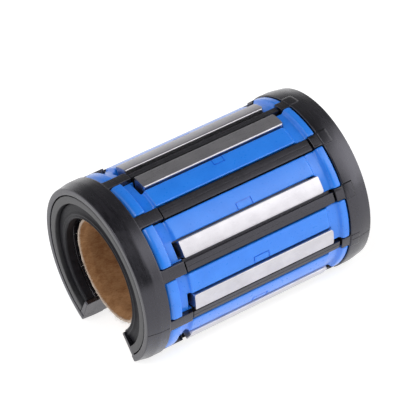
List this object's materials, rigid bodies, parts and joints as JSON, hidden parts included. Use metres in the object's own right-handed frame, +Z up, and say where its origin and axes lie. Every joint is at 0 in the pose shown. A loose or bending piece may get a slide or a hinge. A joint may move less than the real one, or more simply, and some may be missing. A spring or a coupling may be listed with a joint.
{
  "type": "linear ball bushing",
  "caption": "Open-type linear ball bushing with steel load plates and blue return covers in a black plastic cage between two sealed end rings, on a cardboard transit tube.",
  "frame": {"origin": "under the middle of the bushing's length, on the surface that the four slot-side corners of its end rings stand on", "axes": "+X along the shaft axis from the front face to the rear face, +Z up, away from the open slot"},
  "size_m": [0.045, 0.032, 0.0295],
  "materials": {
    "black_plastic": "satin moulded plastic, fine lengthwise streaks",
    "seal_rubber": "matte moulded seal",
    "blue_plastic": "satin to glossy azure moulded plastic",
    "plate_steel": "finely ground along the part, bright edges",
    "ball_steel": "polished bearing balls",
    "kraft_card": "brown cardboard with a fibrous cut edge"
  },
  "bodies": {
    "bushing": {"ball_cage": "black_plastic", "front_end_ring": "black_plastic", "rear_end_ring": "black_plastic", "front_seal": "seal_rubber", "rear_seal": "seal_rubber", "return_cover_1": "blue_plastic", "return_cover_2": "blue_plastic", "return_cover_3": "blue_plastic", "return_cover_4": "blue_plastic", "return_cover_5": "blue_plastic", "return_cover_6": "blue_plastic", "return_cover_7": "blue_plastic", "return_cover_8": "blue_plastic"},
    "transit_tube": {"transit_tube": "kraft_card"},
    "load_plate_1": {"load_plate_1": "plate_steel"},
    "load_plate_2": {"load_plate_2": "plate_steel"},
    "load_plate_3": {"load_plate_3": "plate_steel"},
    "load_plate_4": {"load_plate_4": "plate_steel"},
    "load_plate_5": {"load_plate_5": "plate_steel"},
    "load_plate_6": {"load_plate_6": "plate_steel"},
    "load_plate_7": {"load_plate_7": "plate_steel"},
    "load_plate_8": {"load_plate_8": "plate_steel"},
    "loaded_balls_1": {"loaded_balls_1": "ball_steel"},
    "return_balls_1": {"return_balls_1": "ball_steel"},
    "front_turn_balls_1": {"front_turn_balls_1": "ball_steel"},
    "rear_turn_balls_1": {"rear_turn_balls_1": "ball_steel"},
    "loaded_balls_2": {"loaded_balls_2": "ball_steel"},
    "return_balls_2": {"return_balls_2": "ball_steel"},
    "front_turn_balls_2": {"front_turn_balls_2": "ball_steel"},
    "rear_turn_balls_2": {"rear_turn_balls_2": "ball_steel"},
    "loaded_balls_3": {"loaded_balls_3": "ball_steel"},
    "return_balls_3": {"return_balls_3": "ball_steel"},
    "front_turn_balls_3": {"front_turn_balls_3": "ball_steel"},
    "rear_turn_balls_3": {"rear_turn_balls_3": "ball_steel"},
    "loaded_balls_4": {"loaded_balls_4": "ball_steel"},
    "return_balls_4": {"return_balls_4": "ball_steel"},
    "front_turn_balls_4": {"front_turn_balls_4": "ball_steel"},
    "rear_turn_balls_4": {"rear_turn_balls_4": "ball_steel"},
    "loaded_balls_5": {"loaded_balls_5": "ball_steel"},
    "return_balls_5": {"return_balls_5": "ball_steel"},
    "front_turn_balls_5": {"front_turn_balls_5": "ball_steel"},
    "rear_turn_balls_5": {"rear_turn_balls_5": "ball_steel"},
    "loaded_balls_6": {"loaded_balls_6": "ball_steel"},
    "return_balls_6": {"return_balls_6": "ball_steel"},
    "front_turn_balls_6": {"front_turn_balls_6": "ball_steel"},
    "rear_turn_balls_6": {"rear_turn_balls_6": "ball_steel"},
    "loaded_balls_7": {"loaded_balls_7": "ball_steel"},
    "return_balls_7": {"return_balls_7": "ball_steel"},
    "front_turn_balls_7": {"front_turn_balls_7": "ball_steel"},
    "rear_turn_balls_7": {"rear_turn_balls_7": "ball_steel"},
    "loaded_balls_8": {"loaded_balls_8": "ball_steel"},
    "return_balls_8": {"return_balls_8": "ball_steel"},
    "front_turn_balls_8": {"front_turn_balls_8": "ball_steel"},
    "rear_turn_balls_8": {"rear_turn_balls_8": "ball_steel"}
  },
  "joints": [
    {"name": "transit_tube_slide", "type": "slide", "parent": "bushing", "child": "transit_tube", "axis": [1, 0, 0], "range_m": [-0.045, 0.045]},
    {"name": "load_plate_1_float", "type": "slide", "parent": "bushing", "child": "load_plate_1", "axis": [1, 0, 0], "range_m": [-0.0006, 0]},
    {"name": "load_plate_2_float", "type": "slide", "parent": "bushing", "child": "load_plate_2", "axis": [1, 0, 0], "range_m": [-0.0006, 0]},
    {"name": "load_plate_3_float", "type": "slide", "parent": "bushing", "child": "load_plate_3", "axis": [1, 0, 0], "range_m": [-0.0006, 0]},
    {"name": "load_plate_4_float", "type": "slide", "parent": "bushing", "child": "load_plate_4", "axis": [1, 0, 0], "range_m": [-0.0006, 0]},
    {"name": "load_plate_5_float", "type": "slide", "parent": "bushing", "child": "load_plate_5", "axis": [1, 0, 0], "range_m": [-0.0006, 0]},
    {"name": "load_plate_6_float", "type": "slide", "parent": "bushing", "child": "load_plate_6", "axis": [1, 0, 0], "range_m": [-0.0006, 0]},
    {"name": "load_plate_7_float", "type": "slide", "parent": "bushing", "child": "load_plate_7", "axis": [1, 0, 0], "range_m": [-0.0006, 0]},
    {"name": "load_plate_8_float", "type": "slide", "parent": "bushing", "child": "load_plate_8", "axis": [1, 0, 0], "range_m": [-0.0006, 0]},
    {"name": "loaded_balls_1_roll", "type": "slide", "parent": "bushing", "child": "loaded_balls_1", "axis": [1, 0, 0], "range_m": [-0.001, 0.001]},
    {"name": "return_balls_1_roll", "type": "slide", "parent": "bushing", "child": "return_balls_1", "axis": [1, 0, 0], "range_m": [-0.00101, 0.00101]},
    {"name": "front_turn_balls_1_turn", "type": "hinge", "parent": "bushing", "child": "front_turn_balls_1", "pos_m": [-0.01421, -0.00939, 0.00665], "axis": [0, -0.4517, -0.8922], "range_deg": [-37.27, 37.27]},
    {"name": "rear_turn_balls_1_turn", "type": "hinge", "parent": "bushing", "child": "rear_turn_balls_1", "pos_m": [0.01421, -0.00939, 0.00665], "axis": [0, -0.4517, -0.8922], "range_deg": [-37.27, 37.27]},
    {"name": "loaded_balls_2_roll", "type": "slide", "parent": "bushing", "child": "loaded_balls_2", "axis": [1, 0, 0], "range_m": [-0.001, 0.001]},
    {"name": "return_balls_2_roll", "type": "slide", "parent": "bushing", "child": "return_balls_2", "axis": [1, 0, 0], "range_m": [-0.00101, 0.00101]},
    {"name": "front_turn_balls_2_turn", "type": "hinge", "parent": "bushing", "child": "front_turn_balls_2", "pos_m": [-0.01421, -0.01162, 0.01348], "axis": [0, -0.8899, -0.4562], "range_deg": [-37.27, 37.27]},
    {"name": "rear_turn_balls_2_turn", "type": "hinge", "parent": "bushing", "child": "rear_turn_balls_2", "pos_m": [0.01421, -0.01162, 0.01348], "axis": [0, -0.8899, -0.4562], "range_deg": [-37.27, 37.27]},
    {"name": "loaded_balls_3_roll", "type": "slide", "parent": "bushing", "child": "loaded_balls_3", "axis": [1, 0, 0], "range_m": [-0.001, 0.001]},
    {"name": "return_balls_3_roll", "type": "slide", "parent": "bushing", "child": "return_balls_3", "axis": [1, 0, 0], "range_m": [-0.00101, 0.00101]},
    {"name": "front_turn_balls_3_turn", "type": "hinge", "parent": "bushing", "child": "front_turn_balls_3", "pos_m": [-0.01421, -0.00941, 0.02031], "axis": [0, -0.9881, 0.1539], "range_deg": [-37.27, 37.27]},
    {"name": "rear_turn_balls_3_turn", "type": "hinge", "parent": "bushing", "child": "rear_turn_balls_3", "pos_m": [0.01421, -0.00941, 0.02031], "axis": [0, -0.9881, 0.1539], "range_deg": [-37.27, 37.27]},
    {"name": "loaded_balls_4_roll", "type": "slide", "parent": "bushing", "child": "loaded_balls_4", "axis": [1, 0, 0], "range_m": [-0.001, 0.001]},
    {"name": "return_balls_4_roll", "type": "slide", "parent": "bushing", "child": "return_balls_4", "axis": [1, 0, 0], "range_m": [-0.00101, 0.00101]},
    {"name": "front_turn_balls_4_turn", "type": "hinge", "parent": "bushing", "child": "front_turn_balls_4", "pos_m": [-0.01421, -0.00357, 0.02455], "axis": [0, -0.1589, -0.9873], "range_deg": [-37.27, 37.27]},
    {"name": "rear_turn_balls_4_turn", "type": "hinge", "parent": "bushing", "child": "rear_turn_balls_4", "pos_m": [0.01421, -0.00357, 0.02455], "axis": [0, -0.1589, -0.9873], "range_deg": [-37.27, 37.27]},
    {"name": "loaded_balls_5_roll", "type": "slide", "parent": "bushing", "child": "loaded_balls_5", "axis": [1, 0, 0], "range_m": [-0.001, 0.001]},
    {"name": "return_balls_5_roll", "type": "slide", "parent": "bushing", "child": "return_balls_5", "axis": [1, 0, 0], "range_m": [-0.00101, 0.00101]},
    {"name": "front_turn_balls_5_turn", "type": "hinge", "parent": "bushing", "child": "front_turn_balls_5", "pos_m": [-0.01421, 0.00357, 0.02455], "axis": [0, -0.1589, 0.9873], "range_deg": [-37.27, 37.27]},
    {"name": "rear_turn_balls_5_turn", "type": "hinge", "parent": "bushing", "child": "rear_turn_balls_5", "pos_m": [0.01421, 0.00357, 0.02455], "axis": [0, -0.1589, 0.9873], "range_deg": [-37.27, 37.27]},
    {"name": "loaded_balls_6_roll", "type": "slide", "parent": "bushing", "child": "loaded_balls_6", "axis": [1, 0, 0], "range_m": [-0.001, 0.001]},
    {"name": "return_balls_6_roll", "type": "slide", "parent": "bushing", "child": "return_balls_6", "axis": [1, 0, 0], "range_m": [-0.00101, 0.00101]},
    {"name": "front_turn_balls_6_turn", "type": "hinge", "parent": "bushing", "child": "front_turn_balls_6", "pos_m": [-0.01421, 0.00941, 0.02031], "axis": [0, -0.9881, -0.1539], "range_deg": [-37.27, 37.27]},
    {"name": "rear_turn_balls_6_turn", "type": "hinge", "parent": "bushing", "child": "rear_turn_balls_6", "pos_m": [0.01421, 0.00941, 0.02031], "axis": [0, -0.9881, -0.1539], "range_deg": [-37.27, 37.27]},
    {"name": "loaded_balls_7_roll", "type": "slide", "parent": "bushing", "child": "loaded_balls_7", "axis": [1, 0, 0], "range_m": [-0.001, 0.001]},
    {"name": "return_balls_7_roll", "type": "slide", "parent": "bushing", "child": "return_balls_7", "axis": [1, 0, 0], "range_m": [-0.00101, 0.00101]},
    {"name": "front_turn_balls_7_turn", "type": "hinge", "parent": "bushing", "child": "front_turn_balls_7", "pos_m": [-0.01421, 0.01162, 0.01348], "axis": [0, -0.8899, 0.4562], "range_deg": [-37.27, 37.27]},
    {"name": "rear_turn_balls_7_turn", "type": "hinge", "parent": "bushing", "child": "rear_turn_balls_7", "pos_m": [0.01421, 0.01162, 0.01348], "axis": [0, -0.8899, 0.4562], "range_deg": [-37.27, 37.27]},
    {"name": "loaded_balls_8_roll", "type": "slide", "parent": "bushing", "child": "loaded_balls_8", "axis": [1, 0, 0], "range_m": [-0.001, 0.001]},
    {"name": "return_balls_8_roll", "type": "slide", "parent": "bushing", "child": "return_balls_8", "axis": [1, 0, 0], "range_m": [-0.00101, 0.00101]},
    {"name": "front_turn_balls_8_turn", "type": "hinge", "parent": "bushing", "child": "front_turn_balls_8", "pos_m": [-0.01421, 0.00939, 0.00665], "axis": [0, -0.4517, 0.8922], "range_deg": [-37.27, 37.27]},
    {"name": "rear_turn_balls_8_turn", "type": "hinge", "parent": "bushing", "child": "rear_turn_balls_8", "pos_m": [0.01421, 0.00939, 0.00665], "axis": [0, -0.4517, 0.8922], "range_deg": [-37.27, 37.27]}
  ],
  "couplings": [
    {"joint": "return_balls_1_roll", "follows": "loaded_balls_1_roll", "ratio": -1},
    {"joint": "front_turn_balls_1_turn", "follows": "loaded_balls_1_roll", "rad_per_m": 645.19},
    {"joint": "rear_turn_balls_1_turn", "follows": "loaded_balls_1_roll", "rad_per_m": 645.19},
    {"joint": "loaded_balls_2_roll", "follows": "loaded_balls_1_roll", "ratio": 1},
    {"joint": "return_balls_2_roll", "follows": "loaded_balls_1_roll", "ratio": -1},
    {"joint": "front_turn_balls_2_turn", "follows": "loaded_balls_1_roll", "rad_per_m": 645.19},
    {"joint": "rear_turn_balls_2_turn", "follows": "loaded_balls_1_roll", "rad_per_m": 645.19},
    {"joint": "loaded_balls_3_roll", "follows": "loaded_balls_1_roll", "ratio": 1},
    {"joint": "return_balls_3_roll", "follows": "loaded_balls_1_roll", "ratio": -1},
    {"joint": "front_turn_balls_3_turn", "follows": "loaded_balls_1_roll", "rad_per_m": 645.19},
    {"joint": "rear_turn_balls_3_turn", "follows": "loaded_balls_1_roll", "rad_per_m": 645.19},
    {"joint": "loaded_balls_4_roll", "follows": "loaded_balls_1_roll", "ratio": 1},
    {"joint": "return_balls_4_roll", "follows": "loaded_balls_1_roll", "ratio": -1},
    {"joint": "front_turn_balls_4_turn", "follows": "loaded_balls_1_roll", "rad_per_m": 645.19},
    {"joint": "rear_turn_balls_4_turn", "follows": "loaded_balls_1_roll", "rad_per_m": 645.19},
    {"joint": "loaded_balls_5_roll", "follows": "loaded_balls_1_roll", "ratio": 1},
    {"joint": "return_balls_5_roll", "follows": "loaded_balls_1_roll", "ratio": -1},
    {"joint": "front_turn_balls_5_turn", "follows": "loaded_balls_1_roll", "rad_per_m": 645.19},
    {"joint": "rear_turn_balls_5_turn", "follows": "loaded_balls_1_roll", "rad_per_m": 645.19},
    {"joint": "loaded_balls_6_roll", "follows": "loaded_balls_1_roll", "ratio": 1},
    {"joint": "return_balls_6_roll", "follows": "loaded_balls_1_roll", "ratio": -1},
    {"joint": "front_turn_balls_6_turn", "follows": "loaded_balls_1_roll", "rad_per_m": 645.19},
    {"joint": "rear_turn_balls_6_turn", "follows": "loaded_balls_1_roll", "rad_per_m": 645.19},
    {"joint": "loaded_balls_7_roll", "follows": "loaded_balls_1_roll", "ratio": 1},
    {"joint": "return_balls_7_roll", "follows": "loaded_balls_1_roll", "ratio": -1},
    {"joint": "front_turn_balls_7_turn", "follows": "loaded_balls_1_roll", "rad_per_m": 645.19},
    {"joint": "rear_turn_balls_7_turn", "follows": "loaded_balls_1_roll", "rad_per_m": 645.19},
    {"joint": "loaded_balls_8_roll", "follows": "loaded_balls_1_roll", "ratio": 1},
    {"joint": "return_balls_8_roll", "follows": "loaded_balls_1_roll", "ratio": -1},
    {"joint": "front_turn_balls_8_turn", "follows": "loaded_balls_1_roll", "rad_per_m": 645.19},
    {"joint": "rear_turn_balls_8_turn", "follows": "loaded_balls_1_roll", "rad_per_m": 645.19}
  ]
}
